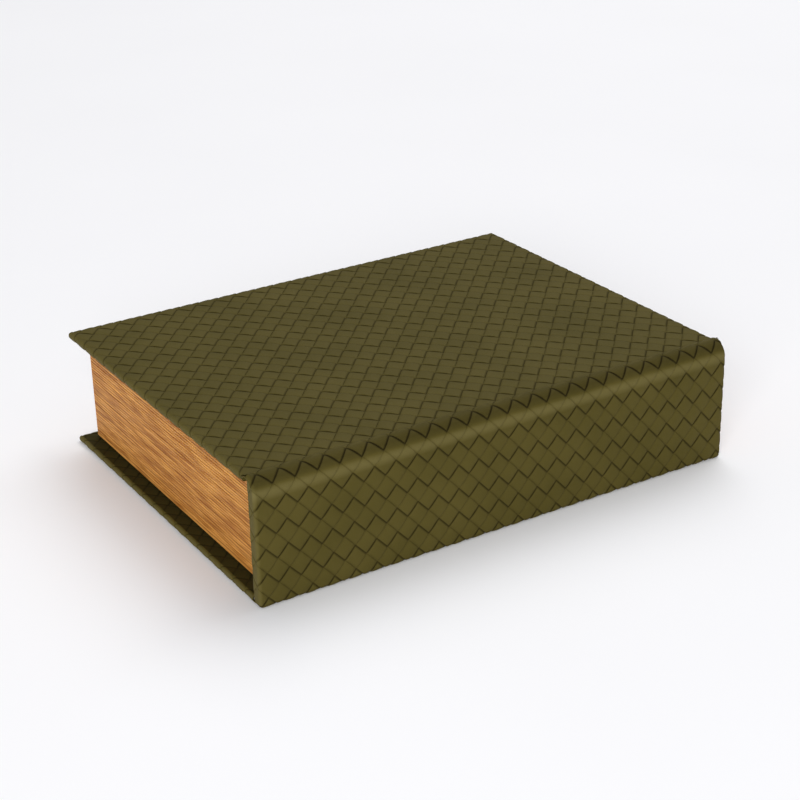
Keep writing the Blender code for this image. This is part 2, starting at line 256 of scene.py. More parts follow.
# Paler where the attribute is below 0: a painted highlight over the edges and where the shoulder starts.
painted_highlight = add(tree, "ShaderNodeMath", {0: groove, 1: -1.0}, operation="MULTIPLY", use_clamp=True)
paler = add(tree, "ShaderNodeMix", {
    0: painted_highlight.outputs[0], 6: dye_and_painted_shade.outputs[2], 7: linear("6A6138"),
}, data_type="RGBA")
tree.links.new(paler.outputs[2], shader.inputs["Base Color"])
pebble = add(tree, "ShaderNodeTexVoronoi", {"Vector": uv, "Scale": 1 / (0.4167 * MM)})
crease = add(tree, "ShaderNodeTexNoise", {
    "Vector": uv, "Scale": 1 / (1.111 * MM), "Detail": 4.0,
})
skin = add(tree, "ShaderNodeMix", {
    0: 0.5, 2: pebble.outputs["Distance"], 3: crease.outputs["Fac"],
})
grain = add(tree, "ShaderNodeBump", {
    "Strength": 0.35, "Distance": 0.05 * MM, "Height": skin.outputs[0],
})
tree.links.new(grain.outputs["Normal"], shader.inputs["Normal"])
shine = add(tree, "ShaderNodeMapRange", {
    "Value": crease.outputs["Fac"], "To Min": 0.58, "To Max": 0.76,
})
dull = add(tree, "ShaderNodeMix", {0: groove, 2: shine.outputs["Result"], 3: 0.95})
tree.links.new(dull.outputs[0], shader.inputs["Roughness"])

# The tree lays out both kinds of strand over a rectangle of the flat hide.
weave_tree = bpy.data.node_groups.new("basket weave", "GeometryNodeTree")
for name, kind in (
    ("Columns", "Int"), ("Rows", "Int"), ("Pitch X", "Float"), ("Pitch S", "Float"),
    ("First X", "Float"), ("First S", "Float"),
    ("Falling strand", "Object"), ("Rising strand", "Object"), ("Leather", "Material"),
):
    weave_tree.interface.new_socket(name, in_out="INPUT", socket_type="NodeSocket" + kind)
weave_tree.interface.new_socket("Weave", in_out="OUTPUT", socket_type="NodeSocketGeometry")
given = add(weave_tree, "NodeGroupInput").outputs


def sum_of(first, second, third):
    """first * second + third, in the weave's tree."""
    made = add(weave_tree, "ShaderNodeMath", {
        0: first, 1: second, 2: third,
    }, operation="MULTIPLY_ADD")
    return made.outputs[0]


size_x = sum_of(given["Columns"], given["Pitch X"], 0.0)
size_s = sum_of(given["Rows"], given["Pitch S"], 0.0)
middle = add(weave_tree, "ShaderNodeCombineXYZ", {
    "X": sum_of(size_x, 0.5, given["First X"]), "Y": sum_of(size_s, 0.5, given["First S"]),
})
half = add(weave_tree, "ShaderNodeCombineXYZ", {
    "X": sum_of(given["Pitch X"], 0.5, 0.0), "Y": sum_of(given["Pitch S"], 0.5, 0.0),
})
points = add(weave_tree, "GeometryNodeMeshGrid", {
    "Size X": size_x, "Size Y": size_s,
    "Vertices X": sum_of(given["Columns"], 1.0, 1.0),
    "Vertices Y": sum_of(given["Rows"], 1.0, 1.0),
})
whole = add(weave_tree, "GeometryNodeTransform", {
    "Geometry": points.outputs["Mesh"], "Translation": middle.outputs[0],
})
between = add(weave_tree, "GeometryNodeTransform", {
    "Geometry": whole.outputs[0], "Translation": half.outputs[0],
})
laid = add(weave_tree, "GeometryNodeJoinGeometry")
for spots, source in ((whole, "Falling strand"), (between, "Rising strand")):
    one = add(weave_tree, "GeometryNodeObjectInfo", {"Object": given[source]})
    many = add(weave_tree, "GeometryNodeInstanceOnPoints", {
        "Points": spots.outputs[0], "Instance": one.outputs["Geometry"],
    })
    weave_tree.links.new(many.outputs[0], laid.inputs[0])
real = add(weave_tree, "GeometryNodeRealizeInstances", {0: laid.outputs[0]})
dressed = add(weave_tree, "GeometryNodeSetMaterial", {
    "Geometry": real.outputs[0], "Material": given["Leather"],
})
add(weave_tree, "NodeGroupOutput", {0: dressed.outputs[0]})


def woven(x, s):
    """A bmesh of flat weave that more than covers this rectangle."""
    first_x = math.floor((x[0] - SHIFT_X) / PITCH_X) - 1
    first_s = math.floor((s[0] - SHIFT_S) / PITCH_S) - 1
    values = {
        "Columns": math.ceil((x[1] - SHIFT_X) / PITCH_X) - first_x,
        "Rows": math.ceil((s[1] - SHIFT_S) / PITCH_S) - first_s,
        "Pitch X": PITCH_X, "Pitch S": PITCH_S,
        "First X": first_x * PITCH_X + SHIFT_X, "First S": first_s * PITCH_S + SHIFT_S,
        "Falling strand": falling, "Rising strand": rising, "Leather": leather,
    }
    spare = bpy.data.objects.new("weave", bpy.data.meshes.new("weave"))
    scene.collection.objects.link(spare)
    laying = spare.modifiers.new("weave", "NODES")
    laying.node_group = weave_tree
    for item in weave_tree.interface.items_tree:
        if item.name in values:
            laying[item.identifier] = values[item.name]
    bpy.context.view_layer.update()
    seen = spare.evaluated_get(bpy.context.evaluated_depsgraph_get())
    mesh = bpy.data.meshes.new_from_object(seen)
    bpy.data.objects.remove(spare)
    shape = bmesh.new()
    shape.from_mesh(mesh)
    bpy.data.meshes.remove(mesh)
    return shape


def trim(shape, at, away, keep=False):
    """Cut a flat sheet along a line, and drop what is on the far side unless it is kept."""
    bmesh.ops.bisect_plane(
        shape, geom=[*shape.verts, *shape.edges, *shape.faces], dist=1e-8,
        plane_co=(*at, 0), plane_no=(*away, 0), clear_outer=not keep,
    )


BACKING = 2.5 * MM              # spacing of the points in the sheet at the grooves' bottom
SPARE = 0.001 * MM              # how far that sheet passes the cut before it is trimmed


def cut_sheet(x, s, folds_x=(), folds_s=(), mitres=(), tint=None):
    """Flat weave over its groove floor, cut to a rectangle, creased at folds and mitred.

    tint(x, s) is how much painted shade the leather there gets, or below 0, painted highlight.
    """
    shape = woven(x, s)
    groove = shape.verts.layers.float["groove"]
    nx, ns = (max(2, round((b - a) / BACKING) + 1) for a, b in (x, s))
    across, along = (
        np.linspace(a - SPARE, b + SPARE, n) for (a, b), n in ((x, nx), (s, ns))
    )
    rows = [[shape.verts.new((a, b, -FLOOR)) for a in across] for b in along]
    for low, high in zip(rows, rows[1:]):
        for i in range(nx - 1):
            shape.faces.new((low[i], low[i + 1], high[i + 1], high[i]))
    for row in rows:
        for vertex in row:
            vertex[groove] = 1.0
    square = (
        ((x[0], 0), (-1, 0)), ((x[1], 0), (1, 0)), ((0, s[0]), (0, -1)), ((0, s[1]), (0, 1)),
    )
    for at, away in (*square, *mitres):
        trim(shape, at, away)
    for fold in folds_x:
        trim(shape, (fold, 0), (1, 0), keep=True)
    for fold in folds_s:
        trim(shape, (0, fold), (0, 1), keep=True)
    if tint:
        for vertex in shape.verts:
            vertex[groove] = min(1.0, vertex[groove] + tint(abs(vertex.co.x), vertex.co.y))
    sheet = shape.loops.layers.uv.new("sheet")
    for face in shape.faces:
        for loop in face.loops:
            loop[sheet].uv = loop.vert.co.xy
    return shape


def bend(shape, placing, into):
    """Move a flat sheet's points to where placing(x, s, height) says, and add it to a piece."""
    flat = np.array([v.co for v in shape.verts])
    for vertex, point in zip(shape.verts, placing(*flat.T)):
        vertex.co = point
    mesh = mesh_from(shape, "part")
    into.from_mesh(mesh)
    bpy.data.meshes.remove(mesh)


# Folding the leather. A cover's section is a path in Y and Z, and the sheet follows it; past
# the ends of the board the sheet turns down over the edge and in again underneath.
FOLD = 0.75 * MM                # radius of a fold, at the sheet's middle level
QUARTER = FOLD * math.pi / 2
TURN_IN = 7.5 * MM              # how much of the turned-in leather the lining leaves in view
FOLD_STEPS = 4
PRESS = 0.5                     # share of their height that strands lose over an edge
EDGE_HIGHLIGHT = 0.5                    # how much paler the leather over an edge is painted: a painted highlight
TURN_IN_SHADE = 0.75                  # how dark the painted shade on the turned-in leather is
SHADE_EDGE = 0.3 * MM           # and the width over which that painted shade fades in
END_X = cad_box[1].x - RELIEF - FOLD        # where the sheet starts to turn over the ends


def quarter_turn(y, z, start):
    """Points clockwise round a quarter circle with its middle at (y, z)."""
    steps = FOLD_STEPS * 2
    angles = [math.radians(start - 90 * i / steps) for i in range(steps + 1)]
    return [(y + FOLD * math.cos(a), z + FOLD * math.sin(a)) for a in angles]


def section(points, end_at_zero=False):
    """A path's points with their distance along it and the direction that faces out."""
    line = np.array(points)
    keep = np.r_[True, np.hypot(*np.diff(line, axis=0).T) > 1e-7]
    line = line[keep]
    steps = np.diff(line, axis=0)
    lengths = np.hypot(*steps.T)
    along = np.r_[0, np.cumsum(lengths)]
    if end_at_zero:
        along = along - along[-1]
    facing = np.c_[-steps[:, 1], steps[:, 0]] / lengths[:, None]
    out = np.vstack([facing[:1], facing[:-1] + facing[1:], facing[-1:]])
    return along, line, out / np.hypot(*out.T)[:, None]


def over_the_end(reach, thickness):
    """How far out, how deep and how far turned the sheet is, at a reach from the middle."""
    flat = thickness - 2 * FOLD
    past = reach - END_X
    first = np.clip(past / FOLD, 0, math.pi / 2)
    second = np.clip((past - QUARTER - flat) / FOLD, 0, math.pi / 2)
    back = np.maximum(past - 2 * QUARTER - flat, 0)
    out = END_X + np.minimum(past, 0) + FOLD * np.sin(first) - FOLD * (1 - np.cos(second)) - back
    deep = FOLD * (1 - np.cos(first)) + np.clip(past - QUARTER, 0, flat) + FOLD * np.sin(second)
    return out, deep, first + second


def follow(path, thickness=None, corner=None, way=1, rolled=None):
    """A placing function for a sheet on this path, turned over the ends of a cover this thick.

    With a corner, it is for the sheet that goes on round the cover's upright corner there. The
    strands are pressed lower past the ends, and past the place where rolled says an edge is.
    """
    along, line, facing = path

    def placing(x, s, height):
        side = np.sign(x)
        out, deep, turned = np.abs(x), 0 * x, 0 * x
        if thickness:
            press = np.clip((out - END_X) / FOLD, 0, 1)
            out, deep, turned = over_the_end(out, thickness)
            if rolled:
                press = np.maximum(press, np.clip(rolled[1] * (s - rolled[0]) / FOLD, 0, 1))
            height = height * (1 - PRESS * press)
        out = out + height * np.sin(turned)
        lift = height * np.cos(turned) - deep
        held = s if corner is None else np.full_like(s, corner)
        y, z = (np.interp(held, along, line[:, i]) for i in (0, 1))
        ny, nz = (np.interp(held, along, facing[:, i]) for i in (0, 1))
        scale = np.hypot(ny, nz)
        ny, nz = ny / scale, nz / scale
        if corner is None:
            return np.c_[side * out, y + ny * lift, z + nz * lift]
        round_it = np.clip(way * (s - corner) / FOLD, 0, math.pi / 2)
        reach = out - END_X
        x = side * (END_X + reach * np.cos(round_it))
        return np.c_[x, y + reach * np.sin(round_it), z + nz * lift]

    return placing


def fold_lines(start, flat=None):
    """Where a sheet is creased for a fold that starts here, and for the one beyond the flat."""
    starts = [start] if flat is None else [start, start + QUARTER + flat]
    return [s + QUARTER * i / FOLD_STEPS for s in starts for i in range(FOLD_STEPS + 1)]


def both_ends(reach, s, folds, folds_s, placing, into, mitre=None, tint=None):
    """The same stretch of sheet at both ends; a mitre is where it starts and which way."""
    for side in (-1, 1):
        x = sorted((side * reach[0], side * reach[1]))
        mitres = [((side * reach[0], mitre[0]), (side, mitre[1]))] if mitre else []
        shape = cut_sheet(x, s, [side * f for f in folds], folds_s, mitres, tint)
        bend(shape, placing, into)


def edge_highlight(reach, flat):
    """The painted highlight, a value below 0, on the leather over an edge with this much flat between its
    two folds.
    """
    ends = (0, 0.6 * QUARTER, flat + 1.4 * QUARTER, flat + 2 * QUARTER)
    return np.interp(reach, ends, (0, -EDGE_HIGHLIGHT, -EDGE_HIGHLIGHT, 0))


def turn_in_shade(reach):
    """The painted shade on the turned-in leather, this far past the fold."""
    return TURN_IN_SHADE * min(1.0, max(0.0, reach / SHADE_EDGE))


def rolled_edges(path, thickness, s, corner, way, into):
    """The leather over a cover's ends and fore-edge, and its turned-in strips inside."""
    flat = thickness - 2 * FOLD
    placing = follow(path, thickness, rolled=(corner, way))
    folds = fold_lines(END_X, flat)
    last = folds[-1]

    # The leather over the edges gets a painted highlight, and the turned-in strips painted shade.
    def highlighted_end(x, s):
        return edge_highlight(x - END_X, flat)

    both_ends((END_X, last), s, folds, (), placing, into, tint=highlighted_end)
    both_ends(
        (last, last + TURN_IN), s, (last + SHADE_EDGE,), (), placing, into, (corner, way),
        lambda x, s: turn_in_shade(x - last),
    )
    round_it = sorted((corner, corner + way * QUARTER))
    turns = [corner + way * QUARTER * i / FOLD_STEPS for i in range(FOLD_STEPS)]
    around = follow(path, thickness, corner, way, (corner, way))
    both_ends((END_X, last), round_it, folds, turns, around, into, tint=highlighted_end)
    over = [corner + way * (f - END_X) for f in folds]
    edge = cut_sheet(
        (-END_X, END_X), sorted((corner, over[-1])), (), over,
        tint=lambda x, s: edge_highlight(way * (s - corner), flat),
    )
    bend(edge, placing, into)
    inner = sorted((over[-1], over[-1] + way * TURN_IN))
    mitres = [((side * END_X, over[-1]), (side, way)) for side in (-1, 1)]
    inside = cut_sheet(
        (-END_X, END_X), inner, (), (over[-1] + way * SHADE_EDGE,), mitres,
        lambda x, s: turn_in_shade(way * (s - over[-1])),
    )
    bend(inside, placing, into)


SEAM = 0.002 * MM               # points closer than this are joined
CRISP = 48                      # degrees: edges that turn more than this show as sharp


def leather_piece(name, shape):
    """A finished leather piece: seams closed, strands smooth, and their edges crisp."""
    bmesh.ops.remove_doubles(shape, verts=shape.verts, dist=SEAM)
    mesh = mesh_from(shape, name)
    mesh.shade_smooth()
    mesh.set_sharp_from_angle(angle=math.radians(CRISP))
    return show(name, mesh, leather)


# The base cover: leather under the box, up over its three free edges and in on top, where
# a ledge of it shows round the block. It stops at the foot of the spine.
base_low, base_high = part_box("base_leather")
spine_low, spine_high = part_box("spine_leather")
low_z, high_z = base_low.z + RELIEF, base_high.z - RELIEF
base_thick = base_high.z - base_low.z - 2 * RELIEF
fore_y = base_high.y - RELIEF - FOLD
heel_y = base_low.y + RELIEF + FOLD
base_path = section([
    (fore_y - TURN_IN - MM, high_z),
    *quarter_turn(fore_y, high_z - FOLD, 90),
    *quarter_turn(fore_y, low_z + FOLD, 0),
    *quarter_turn(heel_y, low_z + FOLD, 270),
], end_at_zero=True)
corner = -QUARTER - (fore_y - heel_y)
spine_s = -QUARTER - (spine_high.y - heel_y)
base = bmesh.new()
placing = follow(base_path, base_thick)
bend(cut_sheet((-END_X, END_X), (corner, -QUARTER)), placing, base)
heel_lines = [-QUARTER + QUARTER * i / FOLD_STEPS for i in range(FOLD_STEPS)]
bend(cut_sheet((-END_X, END_X), (-QUARTER, 0), (), heel_lines), placing, base)
rounded_end = (END_X, END_X + QUARTER)
both_ends(rounded_end, (spine_s, 0), fold_lines(END_X), heel_lines, placing, base)
rolled_edges(base_path, base_thick, (corner, spine_s), corner, -1, base)
base_cover = leather_piece("cover_base", base)
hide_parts("base_leather")
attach(base_cover, "case")

# The spine, joint and lid are the rest of the same hide. It runs up the spine's face, over a
# rounded shoulder, dips across the free joint, and goes on over the lid and round its edges.
lid_low, lid_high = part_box("lid_leather")
SHOULDER_Y = 3.8 * MM           # width and height of the rounded shoulder
SHOULDER_Z = 5.4 * MM
SHOULDER_POWER = 1.7            # 2 is an ellipse, less is nearer to a chamfer
SHOULDER_STEPS = 24
DIP_STEPS = 12
face_y = spine_low.y + RELIEF
seam_z = base_low.z + RELIEF + FOLD
lid_thick = lid_high.z - lid_low.z - 2 * RELIEF
top_z, ridge_z = lid_high.z - RELIEF, spine_high.z - RELIEF
shoulder = []
for i in range(SHOULDER_STEPS + 1):
    angle = math.radians(90 * i / SHOULDER_STEPS)
    out, up = (v ** (2 / SHOULDER_POWER) for v in (math.cos(angle), math.sin(angle)))
    shoulder.append((
        spine_low.y + SHOULDER_Y - (SHOULDER_Y - RELIEF) * out,
        spine_high.z - SHOULDER_Z + (SHOULDER_Z - RELIEF) * up,
    ))
dip = []
for i in range(DIP_STEPS + 1):
    share = i / DIP_STEPS
    y = spine_high.y + share * (lid_low.y - spine_high.y)
    dip.append((y, ridge_z + (top_z - ridge_z) * (0.5 - 0.5 * math.cos(share * math.pi))))
fore_y = lid_high.y - RELIEF - FOLD
lid_path = section([
    (face_y, seam_z), *shoulder, *dip,
    *quarter_turn(fore_y, top_z - FOLD, 90),
    *quarter_turn(fore_y, lid_low.z + RELIEF + FOLD, 0),
    (fore_y - TURN_IN - MM, lid_low.z + RELIEF),
])


def distance(path, y, z):
    """How far along a path its point nearest to this one is."""
    along, line, _ = path
    return along[np.argmin(np.hypot(line[:, 0] - y, line[:, 1] - z))]


def creases(path, low, high, apart):
    """The places of a path's bends between two distances, no closer than this."""
    chosen = [low]
    for place in path[0]:
        if low < place < high - apart / 2 and place - chosen[-1] >= apart:
            chosen.append(place)
    return chosen[1:]


shoulder_s = distance(lid_path, *shoulder[0])
joint_s = distance(lid_path, *dip[0])
lid_s = distance(lid_path, *dip[-1])
corner = distance(lid_path, fore_y, top_z)
placing = follow(lid_path, lid_thick)
lid = bmesh.new()
# Painted light on the shoulder: a painted highlight where it starts and painted shade up its slope.
shoulder_shading_s = [*(shoulder_s + np.array([-1.6, 0.3, 1.4, 2.7, 4.2]) * MM), joint_s]
SHOULDER_SHADING = (0, -0.65, -0.65, 0.25, 0.45, 0.25)      # painted shade there, or below 0, painted highlight


def shoulder_shading(x, s):
    """A painted highlight where the shoulder starts and painted shade where it slopes up to the ridge, with
    the edges' painted highlight near the ends.
    """
    return np.interp(s, shoulder_shading_s, SHOULDER_SHADING) + edge_highlight(max(0, x - END_X), 1.0)


SHOULDER_CREASE = 0.45 * MM     # least distance between the creases that round the shoulder
rounding = creases(lid_path, shoulder_s, joint_s, SHOULDER_CREASE)
for s, lines in (((0, shoulder_s), shoulder_shading_s[:2]), ((shoulder_s, joint_s), rounding)):
    bend(cut_sheet((-END_X, END_X), s, (), lines, tint=shoulder_shading), placing, lid)
both_ends(rounded_end, (0, joint_s), fold_lines(END_X), rounding, placing, lid, tint=shoulder_shading)
bend(cut_sheet((-END_X, END_X), (lid_s, corner)), placing, lid)
rolled_edges(lid_path, lid_thick, (lid_s, corner), corner, 1, lid)

# At the joint the hide is free of board, so it is cut off straight at the ends, and its
# thickness shows there. A cap closes the lid's rolled edge beside it.
HIDE = 0.45 * MM
LAP = 0.2 * MM                  # how far the hide's cut end runs on under the covers
CAP = 6 * MM                    # how far the cap reaches past the rolled edge, both ways
DIP_CREASE = 0.15 * MM          # least distance between the creases that bend the hide there
joint_x = cad_box[1].x - 0.05 * MM
dip_lines = creases(lid_path, joint_s, lid_s, DIP_CREASE)
free = cut_sheet((-joint_x, joint_x), (joint_s, lid_s), (), dip_lines)
bend(free, follow(lid_path), lid)
run = np.array([joint_s - LAP, joint_s, *dip_lines, lid_s, lid_s + LAP])
ring = []
for height, order in ((-0.05 * MM, run), (-HIDE, run[::-1])):
    ring += list(follow(lid_path)(0 * order, order, 0 * order + height))
rims = [[lid.verts.new((x, p[1], p[2])) for p in ring] for x in (-joint_x, joint_x)]
lid.faces.new(rims[0])
lid.faces.new(rims[1][::-1])
for i in range(len(ring)):
    j = (i + 1) % len(ring)
    lid.faces.new((rims[0][i], rims[1][i], rims[1][j], rims[0][j]))
reach = np.linspace(END_X - CAP, END_X + 2 * QUARTER + lid_thick - 2 * FOLD + CAP, 41)
for side in (-1, 1):
    cap = placing(side * reach, 0 * reach + lid_s, 0 * reach)
    points = [lid.verts.new(p) for p in (cap if side < 0 else cap[::-1])]
    lid.faces.new(points)

# The spine's ends are flat, with the sheet turned round them and in behind the spine. Their
# outline follows the rounded shoulder.
spine_thick = spine_high.y - spine_low.y - 2 * RELIEF
upright = section([(face_y, seam_z), (face_y, ridge_z)])
end_s = ridge_z - FOLD - seam_z
CLEAR = 0.1 * MM                # between the leather behind the spine and the base's top
foot_s = base_high.z + CLEAR - seam_z
first = END_X + QUARTER
last = first + spine_thick - 2 * FOLD
for side in (-1, 1):
    rounded = []
    for place in (shoulder_s, *rounding, joint_s - MM):
        y, z = (np.interp(place, lid_path[0], lid_path[1][:, i]) for i in (0, 1))
        ny, nz = (np.interp(place, lid_path[0], lid_path[2][:, i]) for i in (0, 1))
        at = (side * (first + y - FOLD * ny - face_y - FOLD), z - FOLD * nz - seam_z)
        rounded.append((at, (side * ny, nz)))
    x = sorted((side * first, side * last))
    # The spine's end faces get the edges' painted highlight all over.
    spine_end = cut_sheet(x, (0, end_s), (), (), rounded, lambda x, s: -EDGE_HIGHLIGHT)
    bend(spine_end, follow(upright, spine_thick), lid)
inside_x = last + QUARTER


def behind(x, s):
    """A painted highlight where the leather turns in behind the spine, and painted shade past the turn."""
    return turn_in_shade(x - inside_x) - EDGE_HIGHLIGHT * min(1.0, max(0.0, (inside_x - x) / QUARTER))


both_ends(
    (last, inside_x + TURN_IN), (foot_s, end_s), [*fold_lines(last), inside_x + SHADE_EDGE], (),
    follow(upright, spine_thick), lid, tint=behind,
)
lid_cover = leather_piece("cover_lid", lid)
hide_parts("spine_leather", "hinge_leather", "lid_leather")
joint_y = (spine_high.y, lid_low.y)
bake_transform(lid_cover, "case", "lid", start=(0, joint_y[0], ridge_z), end=(0, joint_y[1], ridge_z))

# Greyboard. Three boards stiffen the base, the spine and the lid; the leather hides them. The
# wet leather's grooves press into their faces, so they are a little thinner than they were cut.
PRESSED = 0.1 * MM

# Greyboard is pulped paper: matt, with a speckle of fibres under a millimetre across.
greyboard, tree, shader = finish_of("greyboard", Roughness=0.9)
place = add(tree, "ShaderNodeTexCoord").outputs["Object"]
fibre = add(tree, "ShaderNodeTexNoise", {
    "Vector": place, "Scale": 1 / (0.6667 * MM), "Detail": 4.0,
})
tone = add(tree, "ShaderNodeValToRGB", {"Fac": fibre.outputs["Fac"]})
tone.color_ramp.elements[0].color = linear("8C8880")
tone.color_ramp.elements[1].color = linear("A9A59B")
tree.links.new(tone.outputs["Color"], shader.inputs["Base Color"])
for name, body in (("base_board", "case"), ("spine_board", "case"), ("lid_board", "lid")):
    shape = bmesh.new()
    shape.from_mesh(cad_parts[name].data)
    bmesh.ops.remove_doubles(shape, verts=shape.verts, dist=1e-6)
    bmesh.ops.recalc_face_normals(shape, faces=shape.faces)
    shape.normal_update()
    moved = [(v, v.co - v.normal * v.calc_shell_factor() * PRESSED) for v in shape.verts]
    for vertex, at in moved:
        vertex.co = at
    board = show(name + "_pressed", mesh_from(shape, name + "_pressed"), greyboard)
    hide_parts(name)
    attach(board, body)

# The page block. Four walls of oiled wood, mitred at the corners, have fine level lines cut
# in their outer faces, so that from outside they look like the edges of a book's pages.
# Oiled beech: golden brown, with long darker and lighter streaks and a dull silky surface.
wood, tree, shader = finish_of("oiled beech", Roughness=0.5, IOR=1.5, Specular_IOR_Level=0.2)
uv = add(tree, "ShaderNodeUVMap", uv_map="grain").outputs["UV"]


def streaks(long_mm, wide_mm, detail, shift):
    """Noise drawn out along the grain, with features of this size."""
    stretched = add(tree, "ShaderNodeMapping", {
        "Vector": uv, "Location": (shift, shift, shift),
        "Scale": (1 / (long_mm * MM), 1 / (wide_mm * MM), 1),
    })
    made = add(tree, "ShaderNodeTexNoise", {
        "Vector": stretched.outputs[0], "Scale": 1.0, "Detail": detail,
    })
    return made.outputs["Fac"]


broad = add(tree, "ShaderNodeValToRGB", {"Fac": streaks(45, 2.2, 3.0, 0.3)})
broad.color_ramp.elements[0].position = 0.32
broad.color_ramp.elements[0].color = linear("A8641C")
broad.color_ramp.elements[1].position = 0.68
broad.color_ramp.elements[1].color = linear("D9923E")
fine = add(tree, "ShaderNodeValToRGB", {"Fac": streaks(11, 0.75, 2.0, 5.7)})
fine.color_ramp.elements[0].position = 0.36
fine.color_ramp.elements[0].color = linear("8A4C14")
fine.color_ramp.elements[1].position = 0.64
fine.color_ramp.elements[1].color = linear("F2B45E")
figure = add(tree, "ShaderNodeMix", {
    0: 0.5, 6: broad.outputs["Color"], 7: fine.outputs["Color"],
}, data_type="RGBA")
groove = add(tree, "ShaderNodeAttribute", attribute_name="groove").outputs["Fac"]
# The cut lines are painted darker: painted shade standing in for the shade inside them.
lined = add(tree, "ShaderNodeMix", {
    0: groove, 6: figure.outputs[2], 7: linear("4E2A08"),
}, data_type="RGBA")
tree.links.new(lined.outputs[2], shader.inputs["Base Color"])
pores = add(tree, "ShaderNodeBump", {
    "Strength": 0.3, "Distance": 0.06 * MM, "Height": streaks(6, 0.22, 2.0, 2.1),
})
tree.links.new(pores.outputs["Normal"], shader.inputs["Normal"])

PAGE = 0.93 * MM                # from one cut line to the next
LINE_DEEP = 0.20 * MM
LINE_WIDE = 0.34 * MM
PAGE_STEP = 4.0 * MM            # along a line, between points where it may waver
DRIFT = 0.07 * MM               # how far a line wanders up and down
UNEVEN = 0.05 * MM              # how far a page's edge may lie behind its neighbours'
SET_BACK = 0.02 * MM            # how far all of them lie behind the wall's face
WANDERS = (0.047, 0.019, 0.011)     # lengths in metres over which a line wanders
FADES = (0.031, 0.013, 0.023)       # and over which its painted shade is darker and paler
chance = np.random.default_rng(7)


def waver(place, seeds, lengths):
    """A smooth wandering value from -1 to 1 along a line."""
    waves = [np.sin(place / length * 2 * math.pi + s) for s, length in zip(seeds, lengths)]
    return sum(waves) / len(lengths)


def page_wall(name, node, axis, outward):
    """A copy of a CAD wall with page lines cut in its outer face.

    axis is 0 for a wall along X and 1 along Y, and outward is 1 or -1.
    """
    depth_axis = 1 - axis
    low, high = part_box(node)
    face = high[depth_axis] if outward > 0 else low[depth_axis]
    shape = bmesh.new()
    shape.from_mesh(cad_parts[node].data)
    bmesh.ops.remove_doubles(shape, verts=shape.verts, dist=1e-6)
    bmesh.ops.dissolve_limit(
        shape, angle_limit=math.radians(0.5), verts=shape.verts, edges=shape.edges,
    )
    along = Vector((1 - axis, axis, 0))
    across = Vector((axis, 1 - axis, 0)) * outward

    def outer_geometry():
        """The points, edges and faces of the outer face, with what has been cut so far."""
        faces = [
            f for f in shape.faces
            if f.normal.dot(across) > 0.99 and abs(f.calc_center_median()[depth_axis] - face) < 1e-5
        ]
        edges = {e for f in faces for e in f.edges}
        return [*{v for f in faces for v in f.verts}, *edges, *faces]

    def score(at, away):
        """Cut the outer face in two along a plane."""
        bmesh.ops.bisect_plane(
            shape, geom=outer_geometry(), dist=1e-7, plane_co=at, plane_no=away,
        )

    flat_z = [v.co.z for v in outer_geometry() if isinstance(v, bmesh.types.BMVert)]
    bottom, top = min(flat_z), max(flat_z)
    pages = round((top - bottom) / PAGE)
    pitch = (top - bottom) / pages
    for page in range(pages):
        for share in (0, LINE_WIDE / 2 / pitch, 1 - LINE_WIDE / 2 / pitch):
            z = bottom + (page + share) * pitch
            if z > bottom + 1e-6:
                score((0, 0, z), (0, 0, 1))
    steps = round((high[axis] - low[axis]) / PAGE_STEP)
    for step in range(1, steps):
        score(along * (low[axis] + (high[axis] - low[axis]) * step / steps), along)
    groove = shape.verts.layers.float.new("groove")
    seeds = chance.uniform(0, 6.28, (pages + 1, 2, 3))
    stand = chance.uniform(0, UNEVEN, pages + 1)
    deep = chance.uniform(0.55, 1.0, pages + 1) * LINE_DEEP
    for vertex in shape.verts:
        on_the_rim = vertex.co.z < bottom + 1e-6 or vertex.co.z > top - 1e-6
        if abs(vertex.co[depth_axis] - face) > 1e-5 or on_the_rim:
            continue
        height = (vertex.co.z - bottom) / pitch
        page = min(int(round(height)), pages)
        place = vertex.co[axis]
        drift = waver(place, seeds[page][0], WANDERS) * DRIFT
        if abs(height - page) * pitch < 1e-6:
            # The bottom of a cut line is marked for the painted shade, darker and paler along it.
            vertex[groove] = 0.75 + 0.25 * waver(place, seeds[page][1], FADES)
            vertex.co[depth_axis] -= outward * deep[page]
        else:
            leaf = min(int(height), pages)
            vertex.co[depth_axis] -= outward * (stand[leaf] + SET_BACK)
        vertex.co.z += drift
    sheet = shape.loops.layers.uv.new("grain")
    for f in shape.faces:
        level = abs(f.normal.z) > 0.7
        end = abs(f.normal[axis]) > 0.8
        for loop in f.loops:
            co = loop.vert.co
            grain_along = co[depth_axis] if end else co[axis]
            loop[sheet].uv = (grain_along + 0.3 * axis, co[depth_axis] if level else co.z)
    bmesh.ops.triangulate(shape, faces=[f for f in shape.faces if len(f.verts) > 4])
    made = show(name, mesh_from(shape, name), wood)
    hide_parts(node)
    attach(made, "case")


page_wall("page_wall_head", "wall_head", 1, -1)
page_wall("page_wall_tail", "wall_tail", 1, 1)
page_wall("page_wall_spine", "wall_spine", 0, -1)
page_wall("page_wall_fore_edge", "wall_fore_edge", 0, 1)

